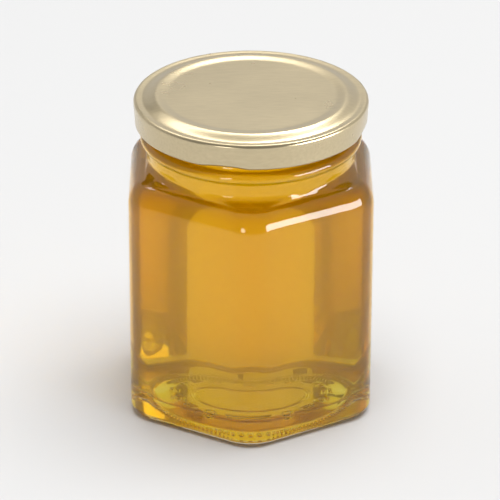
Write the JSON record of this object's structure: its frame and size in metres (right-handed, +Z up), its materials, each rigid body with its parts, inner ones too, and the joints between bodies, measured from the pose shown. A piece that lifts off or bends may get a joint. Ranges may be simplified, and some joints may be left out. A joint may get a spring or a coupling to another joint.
{
  "type": "honey jar",
  "caption": "Hexagonal clear glass jar with a short round neck, full of golden honey and closed by a round gold twist-off lid.",
  "frame": {"origin": "middle of the base, on the surface the jar stands on", "axes": "+Z up through the lid; one corner of the hexagon points along -Y, which is the front, and two flat sides face -X and +X"},
  "size_m": [0.063, 0.0698, 0.085],
  "materials": {
    "jar_glass": "clear colourless container glass, smooth",
    "honey": "clear golden liquid honey",
    "lid": "tinplate with a pale gold lacquer, satin"
  },
  "bodies": {
    "root": {"jar_glass": "jar_glass", "honey": "honey", "lid": "lid"}
  },
  "joints": []
}
